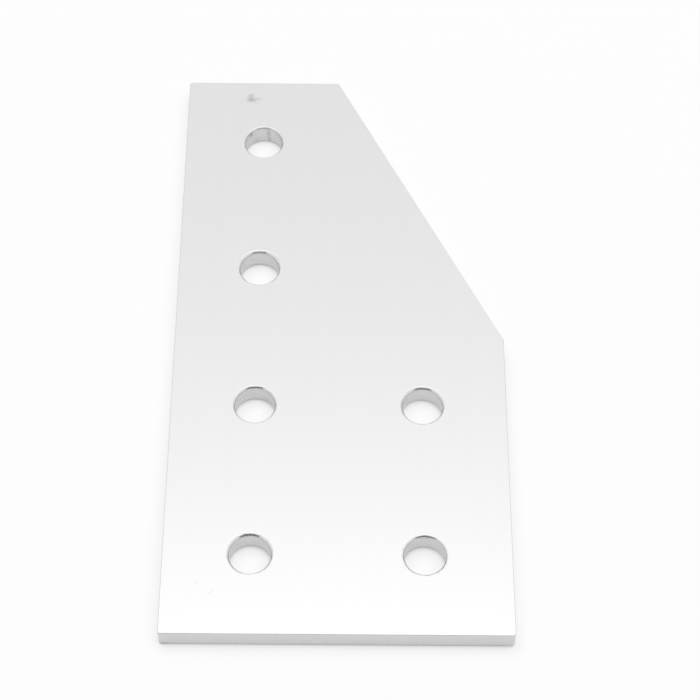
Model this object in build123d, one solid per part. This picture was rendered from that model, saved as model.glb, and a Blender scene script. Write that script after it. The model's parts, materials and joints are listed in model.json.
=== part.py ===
from build123d import *
import os

# Flat joining plate for slotted aluminium extrusion, one piece of anodised sheet.
# It lies on the extrusions and a screw through each hole pulls it onto a nut in the slot below.
# Frame: +Z out of the plate, +Y along its length, origin at the centre of the underside.
# All sizes are in millimetres.

# The holes follow the extrusion grid: one hole over each slot.
pitch = 20.0  # hole spacing, the width of one extrusion
edge_margin = 10.0  # from a hole's centre to the straight side or end beside it
columns = 2  # holes across the plate
rows = 4  # holes along the plate
paired_rows = 2  # rows, from the near end, that are drilled in every column

thickness = 2.8  # of the sheet
hole_diameter = 4.8  # loose clearance for an M4 screw
rim_chamfer = 0.2  # countersunk rim of each hole, on both faces

# The corner over the undrilled rows is cut off by one straight cut.
end_reach = 9.6  # from the last hole's centre to where the cut meets the far end
shoulder_reach = 9.5  # from the last paired hole's centre to where the cut meets the side

corner_radius = 0.3  # of the outline's corners, seen from above
top_edge_round = 0.05  # where the top face turns into the sides
base_edge_round = 0.25  # where the underside turns into the sides

width = (columns - 1) * pitch + 2 * edge_margin
length = (rows - 1) * pitch + 2 * edge_margin
first_column_x = edge_margin - width / 2
first_row_y = edge_margin - length / 2
cut_end_x = first_column_x + end_reach
cut_shoulder_y = first_row_y + (paired_rows - 1) * pitch + shoulder_reach


def make_blank():
    """The sheet cut to its outline, with small radii at the corners seen from above."""
    corners = [
        (-width / 2, -length / 2),
        (width / 2, -length / 2),
        (width / 2, cut_shoulder_y),
        (cut_end_x, length / 2),
        (-width / 2, length / 2),
    ]
    outline = make_face(Polyline(*corners, close=True))
    outline = fillet(outline.vertices(), corner_radius)
    return extrude(outline, thickness)


def hole_centres():
    """Every column in the paired rows, and the first column alone beyond them."""
    centres = []
    for row in range(rows):
        drilled_columns = columns if row < paired_rows else 1
        for column in range(drilled_columns):
            centres.append((first_column_x + column * pitch, first_row_y + row * pitch))
    return centres


def make_hole():
    """The space of one hole: a straight bore that opens into a chamfer at each face."""
    bore_radius = hole_diameter / 2
    rim_radius = bore_radius + rim_chamfer
    half_section = Polyline(
        (0, 0),
        (rim_radius, 0),
        (bore_radius, rim_chamfer),
        (bore_radius, thickness - rim_chamfer),
        (rim_radius, thickness),
        (0, thickness),
        close=True,
    )
    return revolve(Plane.XZ * make_face(half_section), Axis.Z)


def round_outline(plate):
    """The tumbled edges: a fine radius round the top face and a fuller one underneath."""
    by_height = plate.faces().sort_by(Axis.Z)
    plate = fillet(by_height[0].outer_wire().edges(), base_edge_round)
    top_face = plate.faces().sort_by(Axis.Z)[-1]
    return fillet(top_face.outer_wire().edges(), top_edge_round)


def make_joining_plate():
    """The whole plate: blank, rounded edges, then the drilled and countersunk holes."""
    plate = round_outline(make_blank())
    hole = make_hole()
    for x, y in hole_centres():
        plate -= Pos(x, y, 0) * hole
    return plate


os.makedirs("parts", exist_ok=True)
joining_plate = make_joining_plate()
export_step(joining_plate, "parts/joining_plate.step")
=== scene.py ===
# %% [markdown]
# # A joining plate for slotted aluminium extrusion
#
# The real object is one flat piece of aluminium. It is cut from sheet, drilled, tumbled so that
# no edge is sharp, and anodised. It has no second part, so this lesson makes one closed surface,
# one material and a small studio, and most of the care goes into edges and light.
#
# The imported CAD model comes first, as a fixed frame: it says how large the plate is and where its
# holes are. Nothing here is placed by eye if the frame already knows it.

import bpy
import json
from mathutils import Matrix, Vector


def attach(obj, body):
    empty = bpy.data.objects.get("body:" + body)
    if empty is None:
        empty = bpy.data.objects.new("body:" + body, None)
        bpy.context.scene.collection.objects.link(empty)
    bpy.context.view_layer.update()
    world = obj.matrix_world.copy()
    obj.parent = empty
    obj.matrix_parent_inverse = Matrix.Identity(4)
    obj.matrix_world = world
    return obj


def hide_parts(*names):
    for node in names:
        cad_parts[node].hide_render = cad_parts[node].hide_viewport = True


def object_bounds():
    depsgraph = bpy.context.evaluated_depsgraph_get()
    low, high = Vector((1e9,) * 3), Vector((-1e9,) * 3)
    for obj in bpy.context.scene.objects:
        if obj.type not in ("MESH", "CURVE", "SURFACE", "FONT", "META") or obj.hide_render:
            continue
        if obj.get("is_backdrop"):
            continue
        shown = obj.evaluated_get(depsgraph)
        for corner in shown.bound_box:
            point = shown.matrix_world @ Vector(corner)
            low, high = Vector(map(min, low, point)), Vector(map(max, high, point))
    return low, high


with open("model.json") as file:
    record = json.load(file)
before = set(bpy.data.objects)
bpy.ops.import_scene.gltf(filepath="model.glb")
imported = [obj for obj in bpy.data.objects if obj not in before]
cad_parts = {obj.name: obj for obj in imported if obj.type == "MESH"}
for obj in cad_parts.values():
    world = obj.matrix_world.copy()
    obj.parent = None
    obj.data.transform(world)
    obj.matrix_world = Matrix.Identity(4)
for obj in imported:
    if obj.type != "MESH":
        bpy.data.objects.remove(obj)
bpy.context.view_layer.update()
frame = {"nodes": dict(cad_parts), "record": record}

# %% Modules and units
import json
import math

import bpy
import numpy as np
from mathutils import Euler, Vector, geometry

MM = 0.001  # Blender works in metres; every length below is written in millimetres


def lengths_of(vectors):
    """The length of each row of an array: the square root of the sum of its squares."""
    return np.sqrt((vectors**2).sum(axis=-1))


# %% [markdown]
# ## What the frame says
#
# The record lists each hole as a bore, with its centre, its radius and the length of its straight
# part. What is left of the thickness at each end of the bore is the countersunk rim.
#
# The outline isn't in the record, but the CAD mesh has it. Seen from above, the convex hull of
# its vertices has five long sides. Where two neighbouring sides would meet is a corner before
# rounding, and the end of a side stands back from its corner by radius * tan(half the turn).

# %% Holes and thickness
plate_node = frame["nodes"]["joining_plate"]
cad_points = np.empty(len(plate_node.data.vertices) * 3, np.float32)
plate_node.data.vertices.foreach_get("co", cad_points)
cad_points = cad_points.reshape(-1, 3).astype(float) / MM

bores = [mount for mount in frame["record"]["mounts"] if mount["kind"] == "bore"]
hole_centres = np.array([bore["pos_m"][:2] for bore in bores]) / MM
bore_radius = bores[0]["dims"]["r_mm"]
thickness = cad_points[:, 2].max()
rim_chamfer = (thickness - bores[0]["dims"]["length_mm"]) / 2
print(len(bores), "holes of radius", bore_radius, "chamfered by", round(rim_chamfer, 3))

# %% Outline and edge radii
hull = geometry.convex_hull_2d(cad_points[:, :2].tolist())
hull_points = cad_points[hull, :2]
hull_steps = np.roll(hull_points, -1, axis=0) - hull_points

SHORTEST_SIDE = 1.0  # longer steps round the hull are sides, and shorter ones belong to a corner
is_side = lengths_of(hull_steps) > SHORTEST_SIDE
side_starts = hull_points[is_side]
side_directions = hull_steps[is_side] / lengths_of(hull_steps[is_side])[:, None]
side_normals = np.stack([side_directions[:, 1], -side_directions[:, 0]], axis=1)
side_offsets = (side_normals * side_starts).sum(axis=1)

# Corner i is where side i - 1 meets side i. Both of their equations, normal . point = offset,
# hold there.
neighbours = np.stack([np.roll(side_normals, 1, axis=0), side_normals], axis=1)
neighbour_offsets = np.stack([np.roll(side_offsets, 1), side_offsets], axis=1)
corners = np.linalg.solve(neighbours, neighbour_offsets[..., None])[..., 0]
turns = np.arccos((neighbours[:, 0] * neighbours[:, 1]).sum(axis=1))
corner_radius = (lengths_of(side_starts - corners) / np.tan(turns / 2)).mean()

ON_THE_SIDE = 0.001  # how near the outermost plane a vertex lies to be on it
left_side = cad_points[cad_points[:, 0] < cad_points[:, 0].min() + ON_THE_SIDE]
base_edge_round = left_side[:, 2].min()
top_edge_round = thickness - left_side[:, 2].max()
print("corners:", np.round(corners, 2).tolist(), "radius", round(corner_radius, 3))
print("edge rounds:", round(base_edge_round, 3), "below,", round(top_edge_round, 3), "above")

# %% [markdown]
# ## Rounded paths
#
# Both the outline from above and the edge in cross-section are the same thing: straight lines
# with rounded corners. One function makes them all. A corner's arc is written with its own
# normals, so the surface knows exactly which way it faces, and light runs over an edge without a
# facet showing.


# %% A path with rounded corners
def rounded_path(corner_points, radii, arc_steps, closed=False):
    """Points and normals of straight lines whose corners are arcs. The normals are to the right.

    With n1 and n2 the normals of the lines that meet in a corner, the arc's centre is
    corner - radius * (n1 + n2) / (1 + n1.n2), and its points are centre + radius * n,
    where n turns evenly from n1 to n2. An open path starts and ends with its first and last arc.
    """
    middle = np.asarray(corner_points, float)
    before, after = np.roll(middle, 1, axis=0), np.roll(middle, -1, axis=0)
    if not closed:
        middle, before, after = middle[1:-1], before[1:-1], after[1:-1]
    arriving, leaving = middle - before, after - middle
    arriving /= lengths_of(arriving)[:, None]
    leaving /= lengths_of(leaving)[:, None]
    n1 = np.stack([arriving[:, 1], -arriving[:, 0]], axis=1)
    n2 = np.stack([leaving[:, 1], -leaving[:, 0]], axis=1)
    cosine = (n1 * n2).sum(axis=1)
    sine = n1[:, 0] * n2[:, 1] - n1[:, 1] * n2[:, 0]
    radii = np.broadcast_to(radii, len(middle))[:, None]
    centres = middle - radii * (n1 + n2) / (1 + cosine)[:, None]
    share = np.linspace(0, 1, arc_steps + 1)
    angles = np.arctan2(n1[:, 1], n1[:, 0])[:, None] + np.arctan2(sine, cosine)[:, None] * share
    normals = np.stack([np.cos(angles), np.sin(angles)], axis=2)
    points = centres[:, None] + radii[:, None] * normals
    return points.reshape(-1, 2), normals.reshape(-1, 2)


# %% Even steps along the straight runs
def divide_runs(points, normals, longest, closed=True):
    """Splits each step of a path into equal parts no longer than the longest allowed.

    A step of length s becomes n = s / longest parts, rounded up, so its points are
    start + k / n * (end - start), with k from 0 to n - 1.
    """
    steps = np.roll(points, -1, axis=0) - points
    parts = np.ceil(lengths_of(steps) / longest).astype(int).clip(1)
    if not closed:
        parts[-1] = 1  # no step leads from an open path's end back to its start
    run = np.repeat(np.arange(len(points)), parts)
    first = np.repeat(np.cumsum(parts) - parts, parts)
    share = (np.arange(parts.sum()) - first) / parts[run]
    return points[run] + share[:, None] * steps[run], normals[run]


RUN_STEP = 0.5  # along the plate's straight sides
CORNER_STEPS = 8  # round one corner of the outline
outline, outline_normals = rounded_path(corners, corner_radius, CORNER_STEPS, closed=True)
outline, outline_normals = divide_runs(outline, outline_normals, RUN_STEP)
outline_length = lengths_of(np.roll(outline, -1, axis=0) - outline).sum()
print("outline:", len(outline), "points,", round(outline_length, 1), "mm long")

# %% [markdown]
# ## A profile carried along a path
#
# The sides of the plate are one cross-section carried round the outline: a small radius
# underneath, a straight wall and a finer radius above. A hole is the same idea turned inside out.
# Its cross-section, chamfer, bore and chamfer, is carried round a circle, with the normals
# towards the hole's axis.
#
# A countersink straight from the drill has hard edges, but this plate has been tumbled, so the
# edges of each chamfer have worn round until little of its flat is left. That shows in the light.
# Seen from one side of a hole, a rounded rim mirrors the bright room above it, and from the other
# side a thin band of it mirrors whatever stands in front of the table.


# %% Sweep
def sweep(path, path_normals, profile, profile_normals):
    """Grids of points and normals. Row i follows the path, and column j the profile.

    The profile's two coordinates are how far it stands out along the path's normal, and its
    height: point = path_i + out_j * normal_i, at height_j. Its normal tilts in the same two ways.
    """
    around = path[:, None] + profile[None, :, :1] * path_normals[:, None]
    facing = profile_normals[None, :, :1] * path_normals[:, None]
    shape = around.shape[:2]
    points = np.dstack([around, np.broadcast_to(profile[:, 1], shape)])
    normals = np.dstack([facing, np.broadcast_to(profile_normals[:, 1], shape)])
    return points, normals


# %% The cross-section of the sides
EDGE_STEPS = 8  # round one edge in cross-section
WALL_STEP = 0.25  # up the straight part of a wall
LAND = 1.0  # length of flat face in a cross-section, which only gives its direction

side_profile, side_profile_normals = rounded_path(
    [(-LAND, 0), (0, 0), (0, thickness), (-LAND, thickness)],
    [base_edge_round, top_edge_round],
    EDGE_STEPS,
)
side_profile, side_profile_normals = divide_runs(
    side_profile, side_profile_normals, WALL_STEP, closed=False
)
print("side profile:", len(side_profile), "points")

# %% The cross-section of a hole
RIM_SOFTENING = 1.1  # radius worn on both edges of a chamfer, as a share of the chamfer's width


def hole_cross_section(chamfer):
    """Points and normals of a hole's wall, from below: chamfer, bore and chamfer, with worn edges.

    Out is counted from the bore's wall towards its axis, so a rim stands at minus the chamfer.
    """
    points, normals = rounded_path(
        [
            (-chamfer - LAND, 0),
            (-chamfer, 0),
            (0, chamfer),
            (0, thickness - chamfer),
            (-chamfer, thickness),
            (-chamfer - LAND, thickness),
        ],
        RIM_SOFTENING * chamfer,
        EDGE_STEPS,
    )
    return divide_runs(points, normals, WALL_STEP, closed=False)


print("hole profile:", len(hole_cross_section(rim_chamfer)[0]), "points")

# %% [markdown]
# ## Holes as the tool leaves them
#
# A countersink chatters a little, so the outer edge of a real chamfer isn't a perfect circle.
# Here it strays by a few hundredths of a millimetre, in ripples that close round the hole. It is
# far too little to measure with a ruler, and it breaks the perfect evenness of the dark line that
# each rim draws.
#
# Nor does the countersink go equally deep every time, or run exactly on the drill's axis. So each
# hole has its own size of chamfer, and each is a little wider on the side of the far end.


# %% Ripples round a rim
RIPPLES = np.arange(3, 26)  # how many fit round the hole
RIPPLE_HEIGHT = 0.02  # how far the edge strays, one standard deviation
chance = np.random.default_rng(11)


def ripple(angle):
    """The sum of cos(n * angle + phase_n) over the ripples, with random phases.

    It is scaled by the square root of 2 / count, which makes its standard deviation 1.
    """
    phases = chance.uniform(0, 2 * np.pi, len(RIPPLES))
    return np.cos(np.outer(angle, RIPPLES) + phases).sum(axis=1) * math.sqrt(2 / len(RIPPLES))


# %% Sides and hole walls
HOLE_STEPS = 144  # round one hole
RIM_SIZES = (1.15, 0.92, 1.0, 1.05, 1.1, 0.8)  # of each hole's chamfers, as a share of the CAD's
RIM_SHIFTS = (0.09, 0.01, 0.07, 0.07, 0.07, 0.03)  # of each countersink, towards the far end
turn = -math.pi / 2 - np.linspace(0, 2 * np.pi, HOLE_STEPS, endpoint=False)
circle = np.stack([np.cos(turn), np.sin(turn)], axis=1)

walls = [sweep(outline, outline_normals, side_profile, side_profile_normals)]
for centre, size, shift in zip(hole_centres, RIM_SIZES, RIM_SHIFTS):
    profile, profile_normals = hole_cross_section(size * rim_chamfer)
    points, normals = sweep(centre + bore_radius * circle, -circle, profile, profile_normals)
    rim_share = profile[:, 0] / profile[0, 0]  # 0 on the bore and 1 at the rim
    strays = RIPPLE_HEIGHT * ripple(turn)[:, None] * rim_share
    points[:, :, :2] += strays[:, :, None] * circle[:, None]
    points[:, :, 1] += shift * rim_share
    walls.append((points, normals))

rim_radius = max(
    lengths_of(points[:, 0, :2] - centre).max()
    for (points, normals), centre in zip(walls[1:], hole_centres)
)
print("swept surfaces:", len(walls), "- widest rim:", round(rim_radius, 2), "from its hole's axis")

# %% [markdown]
# ## Marks
#
# In the anodising bath the plate hangs on a rack, and where the rack's tip touched it, near the
# far end, it left a shallow dent that the clear layer never covered. At the near end, close to
# the left corner, are a few tiny scuffs from handling. The wall of the last hole has dark places.
# The near right hole has two nicks at the far side of its rim, drawn only as dark spots, which is
# painted shade. The near side is darker low down at both ends: painted shade where it meets the
# floor.
#
# A mark is a soft elliptical spot. On the top face the same number sinks the surface a little and
# later dulls the metal, so the dent and its colour can't drift apart.

# %% Where the marks are
# Each line is x, y, half length, half width, direction in degrees and strength.
FACE_MARKS = np.array(
    [
        (-11.85, 37.17, 0.54, 0.35, 5, 0.80),
        (-11.90, 37.83, 0.40, 0.26, 25, 0.55),
        (-10.98, 37.32, 0.38, 0.21, 8, 0.36),
        (-11.25, 36.72, 0.35, 0.14, -25, 0.20),
        (-15.98, -33.65, 0.11, 0.16, 0, 0.18),
        (-16.75, -35.28, 0.34, 0.07, 12, 0.10),
        (-14.42, -34.98, 0.34, 0.09, 42, 0.20),
        (-14.02, -34.62, 0.14, 0.09, -30, 0.20),
        (-13.98, -35.20, 0.14, 0.08, 15, 0.14),
        (-15.32, -35.86, 0.08, 0.16, 10, 0.10),
        (-14.35, -35.85, 0.07, 0.18, -5, 0.10),
    ]
)
# Each line is x, y and z on a wall, half width, half height and strength.
WALL_MARKS = np.array(
    [
        (-11.70, 31.66, 2.25, 0.24, 0.30, 1.00),
        (-9.45, 32.33, 1.75, 0.24, 0.90, 0.45),
        (-9.40, 32.33, 0.60, 0.22, 0.30, 0.55),
        (-7.68, 30.60, 0.90, 0.30, 0.80, 0.55),
        (-11.20, 32.08, 0.70, 0.55, 0.40, 0.25),
        # Two nicks at the far side of the near right hole's rim, drawn only as dark spots: painted
        # shade.
        (10.35, -27.62, 2.45, 0.16, 0.14, 0.80),
        (9.55, -27.64, 2.50, 0.12, 0.10, 0.60),
        (-8.60, -8.05, 0.80, 0.60, 0.35, 0.20),
        # Painted shade at both ends of the near side, where it meets the floor.
        (-19.75, -39.95, 0.18, 0.80, 0.20, 0.90),
        (18.10, -40.00, 0.15, 0.40, 0.15, 0.70),
    ]
)
MARK_DEPTH = 0.01  # of a mark with strength 1


# %% How strong the marks are at a point
def face_marks_at(points):
    """Strength of the marks on the top face, and its slope in x and y.

    With u and v the distances from a mark's centre along and across it, in half lengths and half
    widths, the strength is the sum over the marks of strength * exp(-u^2 - v^2).
    """
    x, y, half_length, half_width, direction, strength = FACE_MARKS.T
    cosine, sine = np.cos(np.radians(direction)), np.sin(np.radians(direction))
    dx, dy = points[:, :1] - x, points[:, 1:2] - y
    u = (dx * cosine + dy * sine) / half_length
    v = (dy * cosine - dx * sine) / half_width
    spots = strength * np.exp(-(u**2) - v**2)
    slope_x = (-2 * spots * (u * cosine / half_length - v * sine / half_width)).sum(axis=1)
    slope_y = (-2 * spots * (u * sine / half_length + v * cosine / half_width)).sum(axis=1)
    return spots.sum(axis=1), np.stack([slope_x, slope_y], axis=1)


def wall_marks_at(points):
    """Strength of the marks on the walls.

    It is the sum of strength * exp(-(sideways / half width)^2 - (up / half height)^2).
    """
    x, y, z, half_width, half_height, strength = WALL_MARKS.T
    sideways = np.hypot(points[:, :1] - x, points[:, 1:2] - y) / half_width
    up = (points[:, 2:3] - z) / half_height
    return (strength * np.exp(-(sideways**2) - up**2)).sum(axis=1)


print("marks:", len(FACE_MARKS), "on the top face and", len(WALL_MARKS), "on walls")

# %% [markdown]
# ## The flat faces
#
# Each flat face is what is left between the outline and the six rims. A Delaunay triangulation
# fills it and uses the very vertices where the swept surfaces end, so the shell is closed without
# merging anything. Points inside the face keep the triangles well shaped: an even grid, two rings
# round each hole where the fine rim meets the coarse grid, and two fine patches where the marks
# are.


# %% Points inside the faces
GRID = 2.0  # spacing inside a flat face
RING_OFFSETS = (0.35, 1.1)  # of the rings, from a hole's rim
RING_POINTS = (60, 30)  # in each ring
PATCHES = ((-11.5, 37.2, 1.3), (-15.3, -34.8, 1.9))  # centre x, y and half size
PATCH_STEP = 0.08  # spacing inside a patch


def square_grid(low, high, step):
    """Points in even rows and columns from one corner to the other.

    A side of length s has s / step spaces, rounded, so they are near the step asked for.
    """
    xs = np.linspace(low[0], high[0], round((high[0] - low[0]) / step) + 1)
    ys = np.linspace(low[1], high[1], round((high[1] - low[1]) / step) + 1)
    return np.stack(np.meshgrid(xs, ys), axis=-1).reshape(-1, 2)


def inside_points(clearance):
    """A grid with the rings and patches in it, each clear of the others and of the outline.

    A point's distance from a side is offset - normal . point, and it is kept where the smallest of
    these, and its distance from the nearest rim, are large enough.
    """
    grid = square_grid(corners.min(axis=0), corners.max(axis=0), GRID)
    from_sides = (side_offsets - grid @ side_normals.T).min(axis=1)
    from_rims = lengths_of(grid[:, None] - hole_centres).min(axis=1) - rim_radius
    kept = (from_sides > clearance) & (from_rims > RING_OFFSETS[-1] + clearance)
    extra = []
    for x, y, half in PATCHES:
        kept &= np.abs(grid - (x, y)).max(axis=1) > half + clearance / 2
        extra.append(square_grid((x - half, y - half), (x + half, y + half), PATCH_STEP))
    for offset, count in zip(RING_OFFSETS, RING_POINTS):
        angle = np.linspace(0, 2 * np.pi, count, endpoint=False)
        ring = np.stack([np.cos(angle), np.sin(angle)], axis=1) * (rim_radius + offset)
        extra.append((hole_centres[:, None] + ring).reshape(-1, 2))
    return np.vstack([grid[kept], *extra])


filling = inside_points(clearance=0.6)
print("points inside a flat face:", len(filling))

# %% [markdown]
# ## One shell
#
# Besides its place and its normal, every vertex gets two numbers for the material. "cut" is 0 on
# the rolled faces and 1 on the walls, where a blade or a drill went through the sheet. The other
# number is the strength of the marks, and it also rises along the lower and the upper edge of the
# sides. That is painted shade: the lower edge is darkened like the crevice under it, and the upper
# one gets a hair line of painted dark reflection along the outline.
#
# Every surface also has lines that its tool left: rolling streaks run along the plate, a shear
# leaves lines straight down the sides, and a drill leaves rings round the bore. A UV map called
# tool_lines holds, in millimetres, how far each corner is across those lines and how far along
# them, so that one pattern can follow all three.

# %% Put the surfaces together
grid_shapes = [points.shape[:2] for points, normals in walls]
starts = np.cumsum([0] + [rows * columns for rows, columns in grid_shapes])
plate_points = [points.reshape(-1, 3) for points, normals in walls]
plate_normals = [normals.reshape(-1, 3) for points, normals in walls]
plate_faces = []
plate_lines = []
for start, (points, normals) in zip(starts, walls):
    rows, columns = points.shape[:2]
    index = start + np.arange(rows * columns).reshape(rows, columns)
    ahead = np.roll(index, -1, axis=0)
    quads = np.stack([index[:, :-1], ahead[:, :-1], ahead[:, 1:], index[:, 1:]], axis=2)
    plate_faces += quads.reshape(-1, 4).tolist()

    middle = points[:, columns // 2, :2]
    steps = lengths_of(np.roll(middle, -1, axis=0) - middle)
    there = np.cumsum(steps)[:, None]
    here = there - steps[:, None]
    low, high = points[0, :-1, 2], points[0, 1:, 2]
    shape = quads.shape[:2]
    round_the_wall = [np.broadcast_to(end, shape) for end in (here, there, there, here)]
    up_the_wall = [np.broadcast_to(level, shape) for level in (low, low, high, high)]
    # Shear lines run up the sides, and the drill's run round its bore.
    across, along = round_the_wall, up_the_wall
    if start > 0:
        across, along = up_the_wall, round_the_wall
    plate_lines.append(np.moveaxis([across, along], (0, 1), (3, 2)).reshape(-1, 2))

plate_cut = [lengths_of(normals[:, :2]) for normals in plate_normals]
plate_wear_and_shade = [wall_marks_at(points) for points in plate_points]
side_heights = plate_points[0][:, 2]
edge_shade = np.clip(1 - side_heights / base_edge_round, 0, 1)
edge_shade += np.clip(1 - (thickness - side_heights) / top_edge_round, 0, 1)
# Painted shade: the lower edge is darkened like the crevice under it, and the upper edge gets a
# hair line of painted dark reflection.
plate_wear_and_shade[0] += 2 * edge_shade * plate_cut[0]  # strongest halfway round each edge
print("walls:", sum(len(points) for points in plate_points), "vertices")


# %% Fill a flat face
INSIDE_THE_EDGES = 1  # the kind of Delaunay triangulation that keeps to the outline
SAME_POINT = 1e-5  # points nearer than this would be merged, and no two are


def ring_edges(count):
    """The edges round a closed loop: point i with point i + 1, and the last with the first."""
    index = np.arange(count)
    return np.stack([index, np.roll(index, -1)], axis=1)


def fill_face(column, height, facing, mark_depth):
    """Triangles between the loops that the swept surfaces end in, at one column of their grids.

    The marks sink the face, z = height - mark_depth * strength, so its normal leans with their
    slope: it is along (mark_depth * slope_x, mark_depth * slope_y, facing).
    """
    loops = [
        start + (np.arange(rows) * columns + column % columns)
        for start, (rows, columns) in zip(starts, grid_shapes)
    ]
    rim = np.concatenate(loops)
    first_new = sum(len(points) for points in plate_points)
    known = np.concatenate([rim, first_new + np.arange(len(filling))])
    flat = np.vstack([np.vstack(plate_points)[rim, :2], filling])

    strength, slope = face_marks_at(filling)
    if mark_depth == 0:
        strength = strength * 0  # a face without marks isn't dulled either
    leaning = np.column_stack([mark_depth * slope, np.full(len(filling), facing)])
    plate_points.append(np.column_stack([filling, height - mark_depth * strength]))
    plate_normals.append(leaning / lengths_of(leaning)[:, None])
    plate_cut.append(np.zeros(len(filling)))
    plate_wear_and_shade.append(strength)

    sizes = np.array([len(loop) for loop in loops])
    firsts = np.cumsum(sizes) - sizes
    edges = np.vstack([first + ring_edges(size) for first, size in zip(firsts, sizes)])
    result = geometry.delaunay_2d_cdt(
        flat.tolist(), edges.tolist(), [], INSIDE_THE_EDGES, SAME_POINT
    )
    triangles = np.array(result[2])
    origins = np.array([same[0] for same in result[3]])

    # The triangulation fills the holes too. A triangle there has all its corners on one hole.
    owner = np.repeat(np.arange(len(loops) + 1), [*sizes, len(filling)])
    owners = owner[origins[triangles]]
    one_owner = (owners == owners[:, :1]).all(axis=1)
    across_a_hole = one_owner & (owners[:, 0] > 0) & (owners[:, 0] < len(loops))
    triangles = origins[triangles[~across_a_hole]]
    if facing < 0:
        triangles = triangles[:, ::-1]
    plate_faces.extend(known[triangles].tolist())
    plate_lines.append(flat[triangles].reshape(-1, 2))
    return len(triangles)


print("underside:", fill_face(0, 0.0, -1, 0), "triangles")
print("top face:", fill_face(-1, thickness, 1, MARK_DEPTH), "triangles")

# %% Make the plate
plate_mesh = bpy.data.meshes.new("joining_plate_finished")
vertices = np.vstack(plate_points) * MM
plate_mesh.from_pydata(vertices.tolist(), [], plate_faces)
plate_mesh.shade_smooth()
plate_mesh.normals_split_custom_set_from_vertices(np.vstack(plate_normals).tolist())
tool_lines = plate_mesh.uv_layers.new(name="tool_lines")
tool_lines.uv.foreach_set("vector", np.vstack(plate_lines).ravel().astype(np.float32))
for name, values in (("cut", plate_cut), ("wear_and_shade", plate_wear_and_shade)):
    attribute = plate_mesh.attributes.new(name, "FLOAT", "POINT")
    attribute.data.foreach_set("value", np.concatenate(values).clip(0, 1).astype(np.float32))

plate = bpy.data.objects.new("joining_plate_finished", plate_mesh)
bpy.context.collection.objects.link(plate)
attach(plate, "root")
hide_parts("joining_plate")
print("plate:", len(plate_mesh.vertices), "vertices,", len(plate_mesh.polygons), "faces")

# %% [markdown]
# ## Clear anodised aluminium
#
# The sheet is aluminium, etched in caustic soda until it is an even satin, then anodised: a clear
# layer of oxide grows on it, about a hundredth of a millimetre thick. What that gives the eye is
# a pale neutral grey with no colour of its own. It mirrors its surroundings, but only softly, so
# the face takes on the brightness of whatever it leans towards.
#
# A bare metal shader does this with metallic 1 and a medium roughness, at the index of refraction
# that it comes with. The patterns are all weak: the grain of the etch, the long faint streaks
# left by rolling, the finer and stronger lines on cut walls, and the dull bare spots of the
# marks. The same dark tone is also painted shade along the sides' lower and upper edges and in
# some wall marks. A flat face without the patterns would look like plastic, and with any more of
# them like brushed steel.


# %% Colours and nodes
def linear(hex_colour):
    """An sRGB colour such as "#DEDEDE" as the linear red, green, blue and alpha of a shader.

    It is the sRGB curve: value / 12.92 up to 0.04045, and ((value + 0.055) / 1.055)^2.4 above.
    """
    values = np.array([int(hex_colour[i : i + 2], 16) for i in (1, 3, 5)]) / 255
    curve = np.where(values <= 0.04045, values / 12.92, ((values + 0.055) / 1.055) ** 2.4)
    return (*curve.tolist(), 1.0)


def add_node(tree, kind, settings=None, **inputs):
    """Adds a node. Settings are its properties. An input is a value, or an output to link to it.

    An input's name has _ for each space, and a number such as _2 is its place in the list.
    """
    node = tree.nodes.new("ShaderNode" + kind)
    for name, value in (settings or {}).items():
        setattr(node, name, value)
    for name, value in inputs.items():
        key = int(name[1:]) if name[0] == "_" and name[1:].isdigit() else name.replace("_", " ")
        if isinstance(value, bpy.types.NodeSocket):
            tree.links.new(value, node.inputs[key])
        else:
            node.inputs[key].default_value = value
    return node


def new_material(name):
    """A material with an empty node tree, and that tree."""
    material = bpy.data.materials.new(name)
    material.use_nodes = True
    tree = material.node_tree
    tree.nodes.clear()
    return material, tree


# %% Tones, roughness and the size of each pattern
FACE_TONES = ("#DDDDDD", "#DFDFDF")
FACE_ROUGHNESS = (0.30, 0.34)
CUT_TONES = ("#D3D3D3", "#DADADA")
CUT_ROUGHNESS = (0.36, 0.40)
RIM_ROUGHNESS = 0.24
# The same dark tone is painted shade along the sides' lower and upper edges and in some wall marks.
BARE_AND_SHADE_TONE = "#A4A4A4"  # bare metal with a thin dull oxide, in the marks
BARE_ROUGHNESS = 0.55

STREAK_WIDTH, STREAK_LENGTH = 0.8, 30.0  # rolling streaks on the faces
LINE_WIDTH, LINE_LENGTH = 0.15, 2.5  # shear lines and drill rings, twice as wide as real ones
LINE_DEPTH = 0.0015
LINE_CONTRAST = (0.3, 0.7)  # the noise values that become the darkest and the palest line
GRAIN_SIZE = 0.18  # the real etch is near 0.03, too fine to show, so it is drawn six times coarser
GRAIN_HEIGHT = 0.002
GRAIN_STRENGTH = 0.5

# "cut" grows from the face over a rim to the wall. Rims have a cut of about 0.7.
RIM_BEGINS = (0.2, 0.5)
WALL_BEGINS = (0.75, 1.0)


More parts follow.
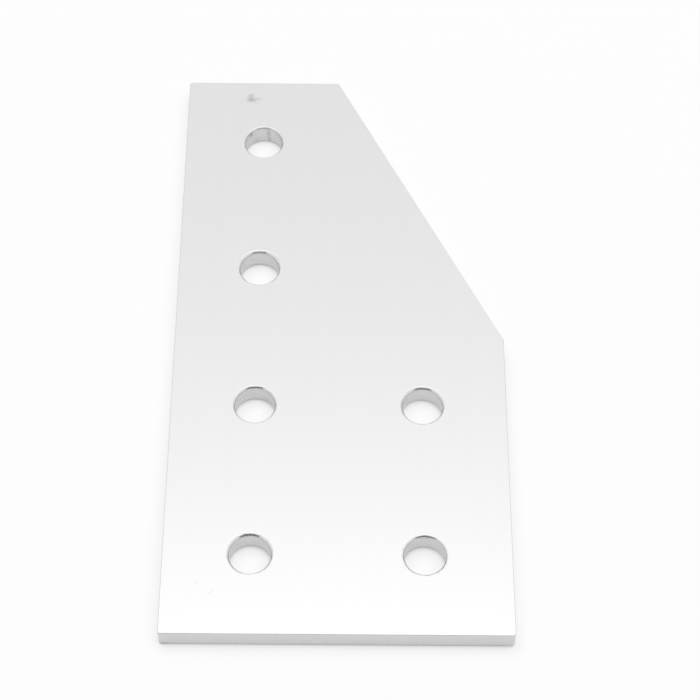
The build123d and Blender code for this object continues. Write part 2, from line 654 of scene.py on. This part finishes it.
# %% The metal
def anodised_aluminium():
    """Etched and clear anodised sheet with rolled faces, turned rims, cut walls, bare marks and
    painted edge shade.
    """
    material, tree = new_material("clear_anodised_aluminium")
    place = add_node(tree, "TexCoord").outputs["Object"]
    lines = add_node(tree, "UVMap", {"uv_map": "tool_lines"}).outputs["UV"]
    cut = add_node(tree, "Attribute", {"attribute_name": "cut"}).outputs["Fac"]
    wear_and_shade = add_node(tree, "Attribute", {"attribute_name": "wear_and_shade"}).outputs["Fac"]

    # A sharp tool turned the rims, so they mirror better than the faces.
    low, high = RIM_BEGINS
    rim = add_node(tree, "MapRange", Value=cut, From_Min=low, From_Max=high).outputs[0]
    low, high = WALL_BEGINS
    wall = add_node(tree, "MapRange", Value=cut, From_Min=low, From_Max=high).outputs[0]

    # Noise in streaks: the mapping squeezes it across the lines and stretches it along them.
    patterns = []
    for width, length, detail in (
        (STREAK_WIDTH, STREAK_LENGTH, 3.0),
        (LINE_WIDTH, LINE_LENGTH, 4.0),
    ):
        along = add_node(tree, "Mapping", Vector=lines, Scale=(1 / width, 1 / length, 1))
        noise = add_node(tree, "TexNoise", Vector=along.outputs[0], Scale=1.0, Detail=detail)
        patterns.append(noise.outputs["Fac"])
    streaks, tool_marks = patterns
    low, high = LINE_CONTRAST
    contrast = add_node(
        tree, "MapRange", Value=tool_marks, From_Min=low, From_Max=high
    ).outputs[0]

    # Tones: the face and the cut wall each vary with their lines, and the marks and the painted
    # edge shade lie over both.
    colours = {"data_type": "RGBA"}
    low, high = (linear(tone) for tone in FACE_TONES)
    face_tone = add_node(tree, "Mix", colours, _0=streaks, _6=low, _7=high).outputs[2]
    low, high = (linear(tone) for tone in CUT_TONES)
    cut_tone = add_node(tree, "Mix", colours, _0=contrast, _6=low, _7=high).outputs[2]
    tone = add_node(tree, "Mix", colours, _0=wall, _6=face_tone, _7=cut_tone).outputs[2]
    # The marks' bare tone, which is also the painted shade along the edges of the sides.
    tone = add_node(tree, "Mix", colours, _0=wear_and_shade, _6=tone, _7=linear(BARE_AND_SHADE_TONE)).outputs[2]

    # Roughness, in the same order, with the rims between the face and the wall.
    low, high = FACE_ROUGHNESS
    face_roughness = add_node(tree, "MapRange", Value=streaks, To_Min=low, To_Max=high).outputs[0]
    low, high = CUT_ROUGHNESS
    cut_roughness = add_node(tree, "MapRange", Value=contrast, To_Min=low, To_Max=high).outputs[0]
    roughness = add_node(tree, "Mix", _0=rim, _2=face_roughness, _3=RIM_ROUGHNESS).outputs[0]
    roughness = add_node(tree, "Mix", _0=wall, _2=roughness, _3=cut_roughness).outputs[0]
    roughness = add_node(tree, "Mix", _0=wear_and_shade, _2=roughness, _3=BARE_ROUGHNESS).outputs[0]

    grain = add_node(tree, "TexNoise", Vector=place, Scale=1 / (GRAIN_SIZE * MM), Detail=2.0)
    grained = add_node(
        tree,
        "Bump",
        Strength=GRAIN_STRENGTH,
        Distance=GRAIN_HEIGHT * MM,
        Height=grain.outputs["Fac"],
    )
    scored = add_node(
        tree,
        "Bump",
        Strength=wall,
        Distance=LINE_DEPTH * MM,
        Height=tool_marks,
        Normal=grained.outputs[0],
    )
    surface = add_node(
        tree,
        "BsdfPrincipled",
        Metallic=1.0,
        Base_Color=tone,
        Roughness=roughness,
        Normal=scored.outputs[0],
    )
    add_node(tree, "OutputMaterial", Surface=surface.outputs[0])
    return material


plate_mesh.materials.append(anodised_aluminium())
print("finish:", plate_mesh.materials[0].name)

# %% [markdown]
# ## A small studio
#
# Metal shows the room more than itself, so the room is part of the material. It is a white tent
# with a wide soft lamp above the far end, which makes the near end of the plate lighter than the
# far end, and a dark card in front, which draws the dark crescent in every rim that faces it.
#
# White surfaces that are lit until they look white would also light the plate from all sides. So
# the tent and the floor have two levels: one for rays that end in an eye, a mirror or glass, and
# a lower one for the light that they give. The light path node tells the two apart.


# %% What the camera and the metal see
def seen_rays(tree):
    """1 for rays from the camera or off a mirror or through glass, and 0 for the rest."""
    ray = add_node(tree, "LightPath").outputs
    either = {"operation": "MAXIMUM"}
    seen = add_node(tree, "Math", either, _0=ray["Is Camera Ray"], _1=ray["Is Glossy Ray"])
    seen = add_node(tree, "Math", either, _0=seen.outputs[0], _1=ray["Is Transmission Ray"])
    return seen.outputs[0]


# %% [markdown]
# ## Floor
#
# The floor is a sheet of white card. Part of what is seen of it is its own white, and the rest is
# painted by the light, so the plate's shadow stays on it, soft and pale. That own white must not
# reach into the crevice under the plate's rounded lower edge, or the plate would seem to float,
# so an ambient occlusion node takes it away there, within half a millimetre.

# %% Floor
FLOOR_SIZE = 4000.0
FLOOR_ALBEDO = 0.93  # share of the light on it that the card gives back
FLOOR_WHITE = 0.927  # its own white
FLOOR_GLOW = 0.70  # share of what is seen of it that is its own white
CREVICE = 0.5  # how far the occlusion reaches
floor_mesh = bpy.data.meshes.new("studio_floor")
half = FLOOR_SIZE / 2 * MM
floor_mesh.from_pydata(
    [(-half, -half, 0), (half, -half, 0), (half, half, 0), (-half, half, 0)], [], [(0, 1, 2, 3)]
)
floor = bpy.data.objects.new("studio_floor", floor_mesh)
bpy.context.collection.objects.link(floor)
floor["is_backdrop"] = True
floor_material, floor_tree = new_material("white_card")
floor_diffuse = add_node(
    floor_tree, "BsdfDiffuse", Color=(FLOOR_ALBEDO, FLOOR_ALBEDO, FLOOR_ALBEDO, 1)
)
floor_light = add_node(floor_tree, "Emission", Color=(1, 1, 1, 1), Strength=FLOOR_WHITE)
multiply = {"operation": "MULTIPLY"}
glow = add_node(floor_tree, "Math", multiply, _0=seen_rays(floor_tree), _1=FLOOR_GLOW)
openness = add_node(floor_tree, "AmbientOcclusion", {"samples": 16}, Distance=CREVICE * MM)
glow = add_node(floor_tree, "Math", multiply, _0=glow.outputs[0], _1=openness.outputs["AO"])
floor_surface = add_node(
    floor_tree,
    "MixShader",
    _0=glow.outputs[0],
    _1=floor_diffuse.outputs[0],
    _2=floor_light.outputs[0],
)
add_node(floor_tree, "OutputMaterial", Surface=floor_surface.outputs[0])
floor_mesh.materials.append(floor_material)
print("floor:", FLOOR_SIZE, "mm square")

# %% [markdown]
# ## Dark card
#
# It stands in front of the plate, below the camera, where a grey card is hung to give bright
# metal an edge. The flat faces don't see it from in front, only the far side of each rim does. A
# near hole mirrors the middle of the card and a far hole its upper edge, so the crescents fade
# from row to row. The camera looks through the card, and it casts no shadow on the floor.

# %% Dark card in front
CARD_TONE = "#606060"
CARD_DISTANCE = 450.0
CARD_HALF_ANGLE = math.radians(37)  # how far it reaches round to each side
CARD_LOW, CARD_HIGH = math.radians(10), math.radians(38)  # how high its edges look from the plate
CARD_COLUMNS, CARD_ROWS = 33, 5  # vertices across it and up it
across, up = np.meshgrid(
    np.linspace(-1, 1, CARD_COLUMNS), np.linspace(0, 1, CARD_ROWS), indexing="ij"
)
angle = across * CARD_HALF_ANGLE
height = CARD_DISTANCE * (math.tan(CARD_LOW) + up * (math.tan(CARD_HIGH) - math.tan(CARD_LOW)))
card_points = np.stack(
    [CARD_DISTANCE * np.sin(angle), -CARD_DISTANCE * np.cos(angle), height], axis=-1
)
index = np.arange(CARD_COLUMNS * CARD_ROWS).reshape(CARD_COLUMNS, CARD_ROWS)
card_faces = np.stack([index[:-1, :-1], index[:-1, 1:], index[1:, 1:], index[1:, :-1]], axis=-1)
card_points, card_faces = card_points.reshape(-1, 3) * MM, card_faces.reshape(-1, 4)
card_mesh = bpy.data.meshes.new("dark_card")
card_mesh.from_pydata(card_points.tolist(), [], card_faces.tolist())
card = bpy.data.objects.new("dark_card", card_mesh)
bpy.context.collection.objects.link(card)
card.visible_camera = False
card.visible_diffuse = False
card.visible_shadow = False
card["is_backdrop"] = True
card_material, card_tree = new_material("dark_grey_card")
card_surface = add_node(
    card_tree,
    "BsdfPrincipled",
    Base_Color=linear(CARD_TONE),
    Roughness=1.0,
    Specular_IOR_Level=0.0,
)
add_node(card_tree, "OutputMaterial", Surface=card_surface.outputs[0])
card_mesh.materials.append(card_material)
print("card:", len(card_faces), "faces")

# %% [markdown]
# ## Lamps
#
# A lamp is given by how bright its surface looks, its radiance, because that is what metal
# mirrors. An area lamp of power P spreads it over its size: radiance = P / (pi * area).
#
# Two lamps share the work. The panel is mirrored, and it brightens the near end of the plate. The
# wider top lamp is hidden from mirrors, and it only lights the floor and gives the plate its soft
# shadow.


# %% Lamps
def soft_lamp(name, azimuth, elevation, distance, size, radiance, mirrored):
    """A rectangular lamp that faces the plate.

    With azimuth a, counted from the far side (+Y) to the right (+X), and elevation e, it stands at
    distance * (sin a cos e, cos a cos e, sin e).
    """
    azimuth, elevation = math.radians(azimuth), math.radians(elevation)
    away = Vector(
        (
            math.sin(azimuth) * math.cos(elevation),
            math.cos(azimuth) * math.cos(elevation),
            math.sin(elevation),
        )
    )
    data = bpy.data.lights.new(name, "AREA")
    data.shape = "RECTANGLE"
    data.size, data.size_y = size[0] * MM, size[1] * MM
    data.energy = radiance * math.pi * data.size * data.size_y
    lamp = bpy.data.objects.new(name, data)
    lamp.location = away * distance * MM
    lamp.rotation_euler = away.to_track_quat("Z", "Y").to_euler()
    lamp.visible_glossy = mirrored
    bpy.context.collection.objects.link(lamp)
    return lamp


LAMP_DISTANCE = 1000.0
PANEL_LEVEL = 0.76
PANEL_PLACE = (0, 78)
PANEL_SIZE = (700, 500)
TOP_LEVEL = 2.72
TOP_PLACE = (20, 84)
TOP_SIZE = (1500, 800)
soft_lamp("panel", *PANEL_PLACE, LAMP_DISTANCE, PANEL_SIZE, PANEL_LEVEL, mirrored=True)
soft_lamp("top_lamp", *TOP_PLACE, LAMP_DISTANCE, TOP_SIZE, TOP_LEVEL, mirrored=False)
print("lamps:", [lamp.name for lamp in bpy.data.lights])

# %% [markdown]
# ## White tent
#
# The tent is the world itself. What is seen of it, directly or in the metal, is plain white at
# strength 1, and the light that it gives is less than half of that.

# %% White tent
SKY_LIGHT = 0.417  # strength of the light that it gives
SKY_SEEN = 1.0  # strength of what is seen of it
world = bpy.data.worlds.new("white_tent")
bpy.context.scene.world = world
world.use_nodes = True
tree = world.node_tree
tree.nodes.clear()
strength = add_node(tree, "MapRange", Value=seen_rays(tree), To_Min=SKY_LIGHT, To_Max=SKY_SEEN)
sky = add_node(tree, "Background", Color=linear("#FFFFFF"), Strength=strength.outputs[0])
add_node(tree, "OutputWorld", Surface=sky.outputs[0])
print("tent:", SKY_LIGHT, "as light and", SKY_SEEN, "as seen")

# %% [markdown]
# ## Camera
#
# The camera looks down on the plate from in front, at about 57 degrees, and is close enough that
# the near end looks clearly wider than the far end. Everything is sharp, and the Standard view
# shows the colours just as the materials give them.

# %% Camera
CAMERA_PLACE = (0.32, -140.39, 213.92)
CAMERA_TURN = (33.222, -0.432, 0.250)  # degrees about x, y and z
FOCAL_LENGTH = 106.98
CLIP_START = 10.0  # nothing nearer than this is drawn
camera_data = bpy.data.cameras.new("camera")
camera_data.lens = FOCAL_LENGTH
camera_data.clip_start = CLIP_START * MM
camera = bpy.data.objects.new("camera", camera_data)
camera.location = Vector(CAMERA_PLACE) * MM
camera.rotation_euler = Euler([math.radians(turn) for turn in CAMERA_TURN])
bpy.context.collection.objects.link(camera)
bpy.context.scene.camera = camera
bpy.context.scene.view_settings.view_transform = "Standard"
print("camera:", round(camera.location.length / MM), "mm from the middle of the plate")

# %% [markdown]
# ## Size
#
# Last, the box round the finished plate is printed. It should match the CAD model's box,
# because the finished plate has the CAD model's own outline and thickness. Only the rims of its
# holes stray from the model, by a tenth of a millimetre or two.

# %% Size of the finished plate
low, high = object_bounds()
print("visual box:", tuple(low), tuple(high))
